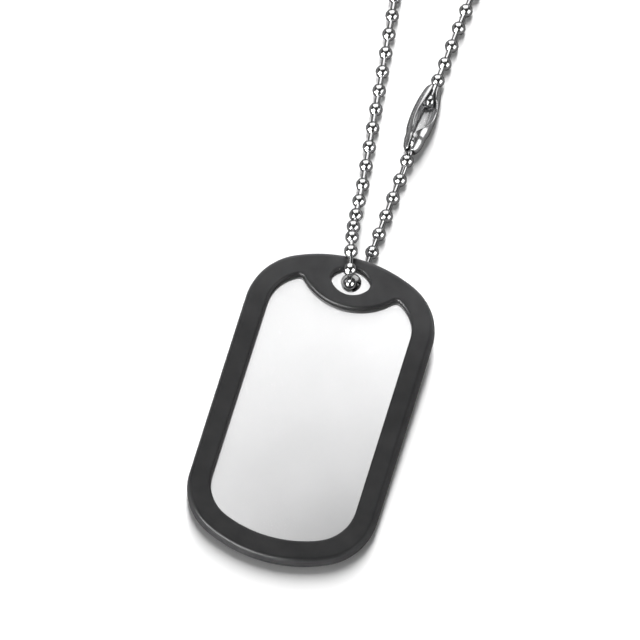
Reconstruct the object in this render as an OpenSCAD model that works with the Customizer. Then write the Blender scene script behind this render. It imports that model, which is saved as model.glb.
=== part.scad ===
// Dog tag with a rubber rim on its ball chain, lying on a flat surface.
// Millimetres, +Z up, the tag's long axis along +Y towards the chain.
// The origin is the middle of the whole part's footprint, on the surface.

/* [Steel plate] */
// Length of the plate
plate_length = 50.8; // [48:0.1:52]
// Width of the plate
plate_width = 28.6; // [27.8:0.1:29.4]
// Thickness of the plate
plate_thick = 0.5; // [0.3:0.1:0.8]
// Diameter of the punched hole
hole_d = 3.2; // [3:0.1:3.4]
// Distance from the plate's middle to the hole's centre
hole_y = 22.9; // [22.7:0.1:23.1]

/* [Rubber rim] */
// Rubber outside the plate's edge, measured at the rim's shoulder
rim_wall = 1.1; // [0.9:0.1:1.4]
// Extra rubber past the plate at the hole's end
rim_head = 0.35; // [0:0.05:0.5]
// Thickness of the rim
rim_thick = 3.2; // [2.8:0.1:3.6]
// How far the side swells past the shoulder line
rim_swell = 0.55; // [0.3:0.05:0.7]
// Radius of the rim's two end curves at the shoulder
rim_end_r = 23.2; // [22:0.1:25]
// Radius of the rim's four corners at the shoulder
rim_corner_r = 9.5; // [8:0.1:11]
// Clearance between the plate and its groove
groove_gap = 0.05; // [0.03:0.01:0.1]

/* [Window and tab] */
// Half the width of the window
window_half = 12; // [11:0.1:12.5]
// Distance from the middle to the window's lower end
window_low = 22.9; // [22:0.1:23.4]
// Height of the window's upper corner centres above the middle
window_high = 15.85; // [14:0.05:16]
// Radius of the window's lower end curve
window_end_r = 20.5; // [19:0.1:22]
// Radius of the window's two lower corners
window_low_r = 6.9; // [6:0.1:8]
// Radius of the window's two upper corners
window_high_r = 6.4; // [6:0.1:7]
// Distance from the middle to the tip of the tab
tab_y = 18.15; // [17:0.05:18.3]
// Radius of the tab's curved edge
tab_r = 10.4; // [9.8:0.1:11]
// Radius that rounds the window's two upper points
tab_round = 1; // [0.8:0.1:1.3]

/* [Eye opening] */
// Width of the eye, tip to tip
eye_width = 6.5; // [6.2:0.1:7]
// Height of the eye
eye_height = 4.7; // [4.5:0.1:4.8]
// Radius of the eye's two tips
eye_tip_r = 1.5; // [1.3:0.1:1.6]
// Distance from the middle to the eye's centre
eye_y = 22.75; // [22.4:0.05:22.8]

/* [Ball chain] */
// Number of beads in the closed loop
bead_count = 180; // [150:2:220]
// Diameter of a bead
bead_d = 2.3; // [2.2:0.05:2.35]
// Distance between bead centres when the chain is drawn out
pitch = 3.4; // [3.3:0.05:3.5]
// Wall of the hollow bead
bead_wall = 0.25; // [0.2:0.05:0.3]
// Diameter of a link pin
pin_d = 0.9; // [0.8:0.05:0.95]
// Diameter of the ball at the pin's far end
pin_head_d = 1.4; // [1.3:0.05:1.5]
// Clearance round the pin where it enters the next bead
pin_gap = 0.12; // [0.1:0.01:0.15]

/* [Chain connector] */
// Length of the connector
clasp_length = 12.3; // [11.8:0.1:12.8]
// Largest outer diameter of the connector
clasp_d = 4.2; // [4.1:0.05:4.4]
// Outer diameter at its two ends
clasp_end_d = 2.4; // [2.35:0.05:2.6]
// Thickness of its sheet metal
clasp_wall = 0.3; // [0.25:0.05:0.35]
// Length of the loading window
window_length = 8.1; // [7:0.1:8.6]
// Width of the loading window, which lets a bead in
window_width = 2.9; // [2.6:0.05:3]
// Distance from the connector's middle to the window's middle, away from the tag
window_shift = 0.6; // [0:0.1:1]
// Width of the slot that holds a bead back and lets its pin slide
slot_width = 1.15; // [1.1:0.05:1.3]
// Distance from the connector's middle to the bead it holds at each end
held_bead_at = 4.2; // [4:0.1:4.6]
// How far the bead at the far end has slid back towards the middle
held_back = 0.7; // [0:0.1:0.9]

/* [How the chain lies] */
// Angle between each strand and the middle line of the loop
fan = 5.2; // [4:0.1:6]
// Turn of the loop's middle line from the tag's long axis, to the left
loop_turn = 2.2; // [0:0.1:4]
// Straight run of each strand from the point where the two would cross
straight_run = 58; // [54:1:70]
// Greatest outward angle of the strands before they close
bow = 35; // [25:1:45]

/* [Hidden] */
// How finely round shapes are drawn
$fn = 96;
bead_sides = 16;
pin_sides = 14;
arch_sides = 360;
// How far a cutting shape runs past what it cuts, and how far two meeting curves cross
overlap = 1;
hair = 0.01;
bead_r = bead_d / 2;
// Clearance between the rim and the bead that it leans on
rest_gap = 0.03;
// How deep a pin's root goes into its bead's wall from inside
pin_root = 0.02;
// Below this sine of the angle between two links the chain counts as straight
least_bend = 0.001;

// The rim's own sizes at the shoulder line, where the flat face ends and the side begins
rim_half = [plate_width / 2 + rim_wall, plate_length / 2 + rim_wall];
edge_inset = 0.25;
side_bulge = rim_swell - edge_inset;
side_r = (pow(rim_thick / 2, 2) + pow(rim_swell, 2)) / (2 * rim_swell);
side_steps = 6;
arc_steps = 10;
groove_thick = plate_thick + 2 * groove_gap;
// The lower face's two ends: the one that rests on the surface and the one at the hole
foot_y = rim_half[1] - edge_inset;
head_y = foot_y + rim_head;

// Where the two strands would cross if they ran on under the tag
cross_point = [0.4, 11.3];
// Distances from the crossing point along the left and the right strand
left_start = 30.1;
right_start = 18.8;
right_beads = 7;
clasp_at = right_start + (right_beads - 1) * pitch + held_bead_at;
far_bead_at = clasp_at + held_bead_at;

// Beads that climb from the surface over the rim, drop through the hole and pass beneath it.
// The columns are x across the tag, y along it and the height above the surface.
CLIMB = [
    [-3.12, 37.85, 2.00],
    [-2.76, 34.85, 3.10],
    [-2.42, 32.25, 4.35],
    [-1.95, 29.85, 5.65],
    [-1.30, 27.00, 6.66],
    [-0.55, 23.95, 6.45],
    [-0.20, 22.56, 3.90],
    [0.98, 23.50, bead_r],
    [1.20, 26.75, bead_r]
];
rest_bead = CLIMB[8];
// The lower face's upper edge lies on that bead, which sets the tag's tilt
rest_height = bead_r + sqrt(pow(bead_r + rest_gap, 2) - pow(rest_bead[1] - head_y, 2));
tilt = asin(rest_height / (foot_y + head_y));

// Heights of the bead held inside the connector and of the bead next to it
clasp_heights = [2.02, 1.6];
clasp_z = clasp_d / 2;

function unit(v) = v / norm(v);
function radians(a) = a * PI / 180;

// The closed loop is solved from the number of beads. Each half is a straight run, an outward
// curve of radius bow_r and a round end of radius end_r that meets the middle line square on.
loop_steps = bead_count - len(CLIMB) - right_beads - 1;
half_loop = (left_start + far_bead_at + loop_steps * pitch) / 2;
curve_turn = radians(bow - fan);
spread = cos(fan) - cos(bow);
end_share = radians(90 + bow) / cos(bow);
bow_r = (half_loop - straight_run * (1 + end_share * sin(fan))) / (curve_turn + end_share * spread);
end_r = (straight_run * sin(fan) + bow_r * spread) / cos(bow);
bow_end = straight_run + bow_r * curve_turn;

// A point of the half loop, as distance along the middle line and distance from it
function half_point(s) =
    s < straight_run ? s * [cos(fan), sin(fan)] :
    s < bow_end ?
        let (h = fan + (s - straight_run) / bow_r * 180 / PI)
        straight_run * [cos(fan), sin(fan)] + bow_r * [sin(h) - sin(fan), cos(fan) - cos(h)] :
        let (h = bow - (s - bow_end) / end_r * 180 / PI)
        straight_run * [cos(fan), sin(fan)] + bow_r * [sin(bow) - sin(fan), spread]
            + end_r * [sin(bow) - sin(h), cos(h) - cos(bow)];

// A point on the surface, s along the left strand, round the loop and back down the right one
function loop_point(s) =
    let (left = s < half_loop)
    let (p = half_point(left ? s : 2 * half_loop - s))
    let (side = left ? p[1] : -p[1])
    cross_point + [
        -p[0] * sin(loop_turn) - side * cos(loop_turn),
        p[0] * cos(loop_turn) - side * sin(loop_turn)
    ];

function bead_height(from_clasp) = from_clasp < len(clasp_heights) ? clasp_heights[from_clasp] : bead_r;
function lifted(p, z) = [p[0], p[1], z];

// All bead centres in order, from the connector's far end round the loop to its near end
FAR_BEADS = [
    for (i = [0:loop_steps])
        let (slid = i == 0 ? held_back : 0)
        lifted(loop_point(2 * half_loop - far_bead_at + slid - i * pitch), bead_height(i))
];
NEAR_BEADS = [
    for (i = [0:right_beads - 1])
        lifted(loop_point(2 * half_loop - right_start - i * pitch), bead_height(right_beads - 1 - i))
];
BEADS = concat(FAR_BEADS, CLIMB, NEAR_BEADS);

// The footprint's middle goes to the origin
xs = [for (b = BEADS) b[0]];
ys = [for (b = BEADS) b[1]];
low_y = -foot_y + (-rim_half[1] - side_bulge + side_r + foot_y) * cos(tilt)
    - rim_thick / 2 * sin(tilt) - side_r;
middle = [(min(xs) + max(xs)) / 2, (low_y + max(ys) + bead_r) / 2, 0];

module centred() {
    translate(-middle) children();
}

// The tag leans on its lower edge and on the chain beneath its upper end
module leaning() {
    centred()
        translate([0, -foot_y, 0])
        rotate([tilt, 0, 0])
        translate([0, foot_y, 0])
        children();
}

// A flat outline with straight sides, four round corners and two wider end curves.
// Each end is the part of a circle that lies between the two corner circles' touching points.
module tag_shape(half, cap_r, corner_r) {
    cap_y = half[1] - cap_r;
    corner = [half[0] - corner_r, cap_y + sqrt(pow(cap_r - corner_r, 2) - pow(half[0] - corner_r, 2))];
    swing = atan2(corner[0], corner[1] - cap_y);
    wedge = (cap_r + overlap) / cos(swing);
    square([2 * half[0], 2 * corner[1]], center = true);
    for (s = [-1, 1]) {
        for (t = [-1, 1])
            translate([t * corner[0], s * corner[1]]) circle(corner_r);
        intersection() {
            translate([0, s * cap_y]) circle(cap_r);
            polygon([
                [0, s * cap_y],
                [wedge * sin(swing), s * (cap_y + wedge * cos(swing))],
                [-wedge * sin(swing), s * (cap_y + wedge * cos(swing))]
            ]);
        }
    }
}

// Points along one arc of an outline, its last point left to the next arc
function arc_points(centre, r, from, to) = [
    for (i = [0:arc_steps - 1])
        let (a = from + (to - from) * i / arc_steps)
        centre + r * [cos(a), sin(a)]
];

// The rim's outline moved outwards by grow: four corners and two ends, counter-clockwise
function rim_outline(grow) =
    let (cap_y = rim_half[1] - rim_end_r)
    let (x = rim_half[0] - rim_corner_r)
    let (y = cap_y + sqrt(pow(rim_end_r - rim_corner_r, 2) - x * x))
    let (swing = atan2(x, y - cap_y))
    let (r = rim_corner_r + grow)
    concat(
        arc_points([x, y + rim_head], r, 0, 90 - swing),
        arc_points([0, cap_y + rim_head], rim_end_r + grow, 90 - swing, 90 + swing),
        arc_points([-x, y + rim_head], r, 90 + swing, 180),
        [[-x, y + rim_head] + r * [-1, 0]],
        arc_points([-x, -y], r, 180, 270 - swing),
        arc_points([0, -cap_y], rim_end_r + grow, 270 - swing, 270 + swing),
        arc_points([x, -y], r, 270 + swing, 360),
        [[x, -y] + r * [1, 0]]
    );

// The rim as one solid slab whose side swells between its two flat faces
module rim_slab() {
    side_angle = asin(rim_thick / 2 / side_r);
    levels = [for (k = [0:side_steps]) -side_angle + 2 * side_angle * k / side_steps];
    rings = [
        for (t = levels)
            let (z = rim_thick / 2 + side_r * sin(t))
            [for (p = rim_outline(side_bulge - side_r * (1 - cos(t)))) lifted(p, z)]
    ];
    n = len(rings[0]);
    polyhedron(
        points = [for (ring = rings) each ring],
        faces = concat(
            [[for (i = [0:n - 1]) i]],
            [for (k = [0:side_steps - 1], i = [0:n - 1])
                let (j = (i + 1) % n)
                [k * n + i, (k + 1) * n + i, (k + 1) * n + j, k * n + j]],
            [[for (i = [n - 1:-1:0]) side_steps * n + i]]
        )
    );
}

// The window's outline: a rounded lower end, two upper corners and the tab's round bite
module window_shape() {
    upper = [window_half - window_high_r, window_high];
    tab = [0, tab_y + tab_r];
    // Centre of the circle that rounds the sharp point between an upper corner and the tab.
    // It cuts a hair into both curves, because circles that only touch leave slivers.
    a = window_high_r - tab_round + hair;
    b = tab_r + tab_round - hair;
    apart = norm(tab - upper);
    along = (a * a - b * b + apart * apart) / (2 * apart);
    dir = unit(tab - upper);
    nick = upper + along * dir + sqrt(a * a - along * along) * [dir[1], -dir[0]];
    touch_corner = upper + window_high_r * unit(nick - upper);
    touch_tab = tab + tab_r * unit(nick - tab);
    // A place well past the sharp point, so that the four-sided cut takes all of it
    beyond = nick + 3 * ((touch_corner + touch_tab) / 2 - nick);
    difference() {
        union() {
            intersection() {
                tag_shape([window_half, window_low], window_end_r, window_low_r);
                translate([-window_half - overlap, -window_low - overlap])
                    square([2 * (window_half + overlap), window_low + overlap]);
            }
            translate([-window_half, -overlap]) square([2 * window_half, window_high + overlap]);
            translate([-upper[0], 0]) square([2 * upper[0], window_high + window_high_r]);
            for (s = [-1, 1])
                translate([s * upper[0], upper[1]]) circle(window_high_r);
        }
        translate(tab) circle(tab_r);
        for (s = [0, 1])
            mirror([s, 0])
                difference() {
                    polygon([nick, touch_corner, beyond, touch_tab]);
                    translate(nick) circle(tab_round);
                }
    }
}

// The eye: two shallow curves that meet in round tips
module eye_shape() {
    tip_x = eye_width / 2 - eye_tip_r;
    h = eye_height / 2;
    lid_r = (tip_x * tip_x + h * h - eye_tip_r * eye_tip_r) / (2 * (h - eye_tip_r));
    touch_x = tip_x / (lid_r - eye_tip_r) * lid_r;
    translate([0, eye_y]) {
        intersection() {
            translate([0, h - lid_r]) circle(lid_r);
            translate([0, lid_r - h]) circle(lid_r);
            square([2 * touch_x, eye_height], center = true);
        }
        for (s = [-1, 1])
            translate([s * tip_x, 0]) circle(eye_tip_r);
    }
}

module plate_shape(grow) {
    tag_shape(
        [plate_width / 2 + grow, plate_length / 2 + grow],
        rim_end_r - rim_wall + grow,
        rim_corner_r - rim_wall + grow
    );
}

// The stainless plate with its punched hole
module tag_plate() {
    color("gainsboro")
        leaning()
        translate([0, 0, (rim_thick - plate_thick) / 2])
        difference() {
            linear_extrude(plate_thick) plate_shape(0);
            translate([0, hole_y, -overlap]) cylinder(d = hole_d, h = plate_thick + 2 * overlap);
        }
}

// The rubber rim, with a groove for the plate, a window on both faces and the eye
module rubber_rim() {
    color([0.24, 0.24, 0.24])
        leaning()
        difference() {
            rim_slab();
            translate([0, 0, -overlap]) linear_extrude(rim_thick + 2 * overlap) window_shape();
            translate([0, 0, -overlap]) linear_extrude(rim_thick + 2 * overlap) eye_shape();
            translate([0, 0, (rim_thick - groove_thick) / 2])
                linear_extrude(groove_thick) plate_shape(groove_gap);
        }
}

// Turns the local +Y axis to a direction, with local +Z square to the chain's bend
module aimed(at, ahead, behind) {
    y = unit(ahead - at);
    bend = cross(unit(at - behind), y);
    up = norm(bend) > least_bend ? unit(bend) : [0, 0, 1];
    z = unit(up - (up * y) * y);
    x = cross(y, z);
    multmatrix([
        [x[0], y[0], z[0], at[0]],
        [x[1], y[1], z[1], at[1]],
        [x[2], y[2], z[2], at[2]],
        [0, 0, 0, 1]
    ])
        children();
}

// One hollow bead. It is open where the pin before it enters, and its own pin reaches into the
// next bead with a ball that is wider than that bead's opening.
module bead(behind, at, ahead, has_opening, has_pin) {
    reach = norm(ahead - at);
    inner_r = bead_r - bead_wall;
    aimed(at, ahead, behind) {
        difference() {
            sphere(d = bead_d, $fn = bead_sides);
            sphere(r = inner_r, $fn = bead_sides);
            if (has_opening)
                bead_opening(at, ahead, behind);
        }
        if (has_pin) {
            translate([0, inner_r - pin_root, 0])
                rotate([-90, 0, 0])
                cylinder(d = pin_d, h = reach - inner_r, $fn = pin_sides);
            translate([0, reach, 0]) sphere(d = pin_head_d, $fn = pin_sides);
        }
    }
}

// The round opening towards the bead behind, in the bead's own turned frame
module bead_opening(at, ahead, behind) {
    turned = acos(min(1, unit(at - behind) * unit(ahead - at)));
    rotate([0, 0, -turned])
        rotate([90, 0, 0])
        cylinder(d = pin_d + 2 * pin_gap, h = bead_d, $fn = pin_sides);
}

// The closed ball chain, whose two end beads sit in the connector
module ball_chain() {
    last = len(BEADS) - 1;
    color("silver")
        centred()
        for (i = [0:last])
            bead(
                i > 0 ? BEADS[i - 1] : 2 * BEADS[0] - BEADS[1],
                BEADS[i],
                i < last ? BEADS[i + 1] : 2 * BEADS[last] - BEADS[last - 1],
                i > 0,
                i < last
            );
}

// The connector's skin in section: x from the axis, y along it
module clasp_section() {
    rise = (clasp_d - clasp_end_d) / 2;
    arch_r = (pow(clasp_length / 2, 2) + rise * rise) / (2 * rise);
    intersection() {
        difference() {
            translate([clasp_d / 2 - arch_r, 0]) circle(arch_r, $fn = arch_sides);
            translate([clasp_d / 2 - arch_r, 0]) circle(arch_r - clasp_wall, $fn = arch_sides);
        }
        translate([0, -clasp_length / 2]) square([clasp_d, clasp_length]);
    }
}

// The folded connector, a barrel with a loading window that runs into a slot at both ends
module chain_connector() {
    at = loop_point(2 * half_loop - clasp_at);
    heading = 90 + loop_turn - fan;
    lens_r = (pow(window_length, 2) + pow(window_width, 2)) / (4 * window_width);
    color("silver")
        centred()
        translate([at[0], at[1], clasp_z])
        rotate([0, 0, heading - 90])
        difference() {
            rotate([-90, 0, 0]) rotate_extrude() clasp_section();
            translate([0, window_shift, 0])
                linear_extrude(clasp_d)
                intersection() {
                    translate([window_width / 2 - lens_r, 0]) circle(lens_r);
                    translate([lens_r - window_width / 2, 0]) circle(lens_r);
                }
            translate([-slot_width / 2, -clasp_length / 2 - overlap, 0])
                cube([slot_width, clasp_length + 2 * overlap, clasp_d]);
        }
}

tag_plate();
rubber_rim();
ball_chain();
chain_connector();
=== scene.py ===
# %% [markdown]
# # A dog tag on its ball chain
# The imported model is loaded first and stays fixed: every piece made here is laid over it, in metres, in
# the same frame. The sizes below are in millimetres, because a tag is a small thing and its real sizes
# are easier to read that way, and one number turns them into Blender's metres.

# %% Load the frame
import bpy
import bmesh
from math import radians, degrees, sin, cos, asin, atan2, sqrt, exp, pi
from mathutils import Vector, Matrix
from mathutils.geometry import tessellate_polygon


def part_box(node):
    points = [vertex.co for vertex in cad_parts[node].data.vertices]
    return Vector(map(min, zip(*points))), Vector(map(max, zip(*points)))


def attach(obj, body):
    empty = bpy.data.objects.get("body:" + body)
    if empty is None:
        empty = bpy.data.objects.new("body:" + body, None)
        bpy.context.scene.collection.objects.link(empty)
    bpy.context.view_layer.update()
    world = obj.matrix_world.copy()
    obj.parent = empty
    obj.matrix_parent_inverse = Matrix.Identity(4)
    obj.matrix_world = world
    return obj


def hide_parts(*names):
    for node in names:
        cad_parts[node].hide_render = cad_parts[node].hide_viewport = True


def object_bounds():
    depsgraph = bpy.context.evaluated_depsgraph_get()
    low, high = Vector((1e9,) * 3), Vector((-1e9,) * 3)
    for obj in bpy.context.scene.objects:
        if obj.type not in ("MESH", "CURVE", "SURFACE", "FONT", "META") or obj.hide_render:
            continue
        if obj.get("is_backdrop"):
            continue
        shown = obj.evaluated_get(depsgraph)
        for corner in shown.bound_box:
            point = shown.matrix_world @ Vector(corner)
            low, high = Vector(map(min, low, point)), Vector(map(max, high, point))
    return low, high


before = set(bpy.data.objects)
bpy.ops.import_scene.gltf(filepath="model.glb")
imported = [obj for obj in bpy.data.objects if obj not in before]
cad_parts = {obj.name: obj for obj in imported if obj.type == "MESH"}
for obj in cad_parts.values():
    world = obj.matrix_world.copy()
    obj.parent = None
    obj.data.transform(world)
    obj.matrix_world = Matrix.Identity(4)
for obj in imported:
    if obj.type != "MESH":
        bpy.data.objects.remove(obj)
cad_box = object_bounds()
MM = 0.001
scene = bpy.context.scene
print("nodes:", sorted(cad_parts), "box:", cad_box)

# %% [markdown]
# ## Where the tag lies
# The tag's own drawing is flat: across, along, and above its lower face. On the table its upper end is
# propped on the chain that passes beneath it, so the flat drawing is tilted about its lower edge. The
# same few numbers as in the part's source give that tilt, so each piece lands where the solid is.

# %% Sizes of the plate and the rim
PLATE_LENGTH, PLATE_WIDTH, PLATE_THICK = 50.8, 28.6, 0.5
PLATE_END_R, PLATE_CORNER_R = 22.1, 8.4
RIM_WALL, RIM_THICK = 1.1, 3.2
RIM_HALF_X, RIM_HALF_Y = PLATE_WIDTH / 2 + RIM_WALL, PLATE_LENGTH / 2 + RIM_WALL
RIM_END_R, RIM_CORNER_R = 23.2, 9.5
RIM_HEAD = 0.35  # how much farther the rim reaches at the hole's end

# The rim's round side starts this far inside its nominal edge, and swells this far beyond it
EDGE_INSET, SIDE_BULGE = 0.25, 0.3
side_swell = EDGE_INSET + SIDE_BULGE
SIDE_R = ((RIM_THICK / 2) ** 2 + side_swell ** 2) / (2 * side_swell)
print("the rim's side is part of a circle of radius", round(SIDE_R, 2), "mm")

# %% The beads at the tag, and how far they tilt it
BEAD_D, PITCH = 2.3, 3.4
BEAD_R = BEAD_D / 2
REST_GAP = 0.03  # air between the rim and the bead that props it

# Centres of the beads that climb over the rim, drop through the hole and pass beneath the tag
CLIMB = [
    (-3.12, 37.85, 2.00), (-2.76, 34.85, 3.10), (-2.42, 32.25, 4.35),
    (-1.95, 29.85, 5.65), (-1.30, 27.00, 6.66), (-0.55, 23.95, 6.45),
    (-0.20, 22.56, 3.90), (0.98, 23.50, BEAD_R), (1.20, 26.75, BEAD_R),
]
FOOT_Y = RIM_HALF_Y - EDGE_INSET
HEAD_Y = FOOT_Y + RIM_HEAD
prop_y = CLIMB[-1][1]
rest_height = BEAD_R + sqrt((BEAD_R + REST_GAP) ** 2 - (prop_y - HEAD_Y) ** 2)
TILT = asin(rest_height / (FOOT_Y + HEAD_Y))
print("the tag is tilted by", round(degrees(TILT), 2), "degrees")

# %% [markdown]
# ## The path of the chain
# A ball chain has a fixed length, so its path can't be drawn freehand. Each half of the loop is a straight
# run, an outward curve and part of a round end, and two equations fix their radii so that 180 beads fit
# exactly. That is the same rule as in the solid model, and it gives the centre of every bead.

# %% The measures of the loop
BEAD_COUNT = 180
RIGHT_BEADS = 7  # beads between the tag and the connector
CROSS = (0.4, 11.3)  # where the two strands would meet, over the tag
LEFT_START, RIGHT_START = 30.1, 18.8  # from there to the first bead of each strand
TURN = radians(2.2)  # the whole loop, away from the tag's long axis
FAN, BOW = radians(5.2), radians(35)  # each strand from the loop's middle line, before and after its curve
STRAIGHT = 58.0

# The connector: from its middle to a held bead, and how much nearer the far bead sits
HELD_AT, HELD_BACK = 4.2, 0.7
CLASP_Z = 2.1
CLASP_HEIGHTS = (2.02, 1.6)  # a held bead and its neighbour above the table

clasp_at = RIGHT_START + (RIGHT_BEADS - 1) * PITCH + HELD_AT
far_bead_at = clasp_at + HELD_AT
loop_steps = BEAD_COUNT - len(CLIMB) - RIGHT_BEADS - 1
half_loop = (LEFT_START + far_bead_at + loop_steps * PITCH) / 2
spread = cos(FAN) - cos(BOW)
end_share = (pi / 2 + BOW) / cos(BOW)
bow_r = (half_loop - STRAIGHT * (1 + end_share * sin(FAN))) / ((BOW - FAN) + end_share * spread)
end_r = (STRAIGHT * sin(FAN) + bow_r * spread) / cos(BOW)
bow_end = STRAIGHT + bow_r * (BOW - FAN)
print("outward curves of radius", round(bow_r, 1), "mm and a round end of", round(end_r, 1), "mm")


# %% Points along the loop
def half_point(s):
    """Distance along the loop's middle line and distance from it, s mm along one half."""
    if s < STRAIGHT:
        return s * cos(FAN), s * sin(FAN)
    x, y = STRAIGHT * cos(FAN), STRAIGHT * sin(FAN)
    if s < bow_end:
        h = FAN + (s - STRAIGHT) / bow_r
        return x + bow_r * (sin(h) - sin(FAN)), y + bow_r * (cos(FAN) - cos(h))
    h = BOW - (s - bow_end) / end_r
    x, y = x + bow_r * (sin(BOW) - sin(FAN)), y + bow_r * spread
    return x + end_r * (sin(BOW) - sin(h)), y + end_r * (cos(h) - cos(BOW))


def loop_point(s, z):
    """A point s mm along the left strand, round the loop and back down the right one."""
    left = s < half_loop
    along, off = half_point(s if left else 2 * half_loop - s)
    side = off if left else -off
    return (
        CROSS[0] - along * sin(TURN) - side * cos(TURN),
        CROSS[1] + along * cos(TURN) - side * sin(TURN),
        z,
    )


print("the loop's far point:", [round(c, 1) for c in loop_point(half_loop, BEAD_R)])


# %% Bead centres, in order round the loop
def bead_height(from_clasp):
    """Height of a bead by its number from the connector, 0 for the one that it holds."""
    return CLASP_HEIGHTS[from_clasp] if from_clasp < len(CLASP_HEIGHTS) else BEAD_R


beads = [
    loop_point(2 * half_loop - far_bead_at + (HELD_BACK if i == 0 else 0) - i * PITCH, bead_height(i))
    for i in range(loop_steps + 1)
]
beads += CLIMB
beads += [
    loop_point(2 * half_loop - RIGHT_START - i * PITCH, bead_height(RIGHT_BEADS - 1 - i))
    for i in range(RIGHT_BEADS)
]
print(len(beads), "beads")

# %% [markdown]
# ## From drawing to frame
# The frame's origin is the middle of the whole footprint, so the tag and the chain are both moved by the
# same amount. Two small helpers do it: one for a point on the table, one for a point of the tag's flat
# drawing, which is tilted first.

# %% Helpers that place a point
low_y = (
    -FOOT_Y + (-RIM_HALF_Y - SIDE_BULGE + SIDE_R + FOOT_Y) * cos(TILT)
    - RIM_THICK / 2 * sin(TILT) - SIDE_R
)
MIDDLE = Vector((
    (min(b[0] for b in beads) + max(b[0] for b in beads)) / 2,
    (low_y + max(b[1] for b in beads) + BEAD_R) / 2,
    0,
))


def on_table(x, y, z):
    """A point in the frame, in metres, from millimetres on the table."""
    return (Vector((x, y, z)) - MIDDLE) * MM


def on_tag(across, along, above):
    """A point in the frame, from the tag's flat drawing."""
    y = along + FOOT_Y
    return on_table(
        across,
        -FOOT_Y + y * cos(TILT) - above * sin(TILT),
        y * sin(TILT) + above * cos(TILT),
    )


PLATE_LOW = (RIM_THICK - PLATE_THICK) / 2
PLATE_HIGH = PLATE_LOW + PLATE_THICK
solid_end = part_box("tag_plate")[1].y
far_end = on_tag(0, PLATE_LENGTH / 2, PLATE_HIGH).y
print("the plate's far end, here and in the solid:", round(far_end, 5), round(solid_end, 5))


# %% [markdown]
# ## The camera
# The photograph looks down at the table from about 67 degrees, a little from the right of the tag's long
# axis, with almost no perspective. A long lens two metres away does the same. Its sideways, upward and
# backward directions are the three columns of its rotation.

# %% Camera at the photograph's angle
def into_scene(name, data):
    """A new object in the scene that holds a camera, a lamp or a mesh."""
    obj = bpy.data.objects.new(name, data)
    scene.collection.objects.link(obj)
    return obj


AZIMUTH, ELEVATION = radians(16.55), radians(66.70)
PIXELS_PER_MM, DISTANCE, IMAGE, SENSOR = 6.2, 2.0, 640, 36
AIM_RIGHT, AIM_UP = 1.447, 15.6  # the picture's middle, in mm from the middle of the tag
right = Vector((cos(AZIMUTH), sin(AZIMUTH), 0))
toward = Vector((sin(AZIMUTH) * cos(ELEVATION), -cos(AZIMUTH) * cos(ELEVATION), sin(ELEVATION)))
up = toward.cross(right)
target = on_table(0, 0, 0) + (AIM_RIGHT * right + AIM_UP * up) * MM
lens_mm = PIXELS_PER_MM * SENSOR * DISTANCE / MM / IMAGE

camera_data = bpy.data.cameras.new("photo_camera")
camera_data.lens = lens_mm
camera_data.sensor_width = SENSOR
camera_data.clip_start, camera_data.clip_end = 0.05, 20
camera = into_scene("photo_camera", camera_data)
turn = Matrix((right, up, toward)).transposed().to_4x4()
camera.matrix_world = Matrix.Translation(target + toward * DISTANCE) @ turn
scene.camera = camera
print("lens", round(lens_mm), "mm")


# %% [markdown]
# ## Outlines
# The tag, its window and the eye round its hole are all made of arcs that run into each other. Each arc is
# kept as points that also know their outward direction. That makes it easy to shift an outline in or out
# by any amount, which is how the rounded edges are made further down.

# %% Arcs and straight sides
def arc(cx, cy, r, start, stop, steps, hollow=False):
    """Points (x, y, outward x, outward y) along an arc, its last point left to the next arc."""
    side = -1 if hollow else 1
    found = []
    for i in range(steps):
        a = start + (stop - start) * i / steps
        found.append((cx + r * cos(a), cy + r * sin(a), side * cos(a), side * sin(a)))
    return found


def straight_side(x, y0, y1, steps):
    """Points up or down a straight side, for an even spread."""
    side = 1 if x > 0 else -1
    return [(x, y0 + (y1 - y0) * i / steps, side, 0) for i in range(steps)]


def mirrored(points):
    """The same points on the other side of the middle line, in reverse order."""
    return [(-x, y, -nx, ny) for x, y, nx, ny in reversed(points)]


print("a quarter circle in four steps:", len(arc(0, 0, 1, 0, pi / 2, 4)), "points")


# %% The outline of the plate and of the rim
def tag_outline(half_x, half_y, cap_r, corner_r, head=0, steps=14):
    """Four corners and two wide end curves. head makes the upper end reach farther."""
    cap_y = half_y - cap_r
    x = half_x - corner_r
    y = cap_y + sqrt((cap_r - corner_r) ** 2 - x * x)
    swing = atan2(x, y - cap_y)
    q = pi / 2
    return (
        arc(x, y + head, corner_r, 0, q - swing, steps)
        + arc(0, cap_y + head, cap_r, q - swing, q + swing, 2 * steps)
        + arc(-x, y + head, corner_r, q + swing, pi, steps)
        + straight_side(-half_x, y + head, -y, steps)
        + arc(-x, -y, corner_r, pi, pi + q - swing, steps)
        + arc(0, -cap_y, cap_r, pi + q - swing, pi + q + swing, 2 * steps)
        + arc(x, -y, corner_r, pi + q + swing, 2 * pi, steps)
        + straight_side(half_x, -y, y + head, steps)
    )


rim_outline = tag_outline(RIM_HALF_X, RIM_HALF_Y, RIM_END_R, RIM_CORNER_R, RIM_HEAD)
print("rim outline:", len(rim_outline), "points")


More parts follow.
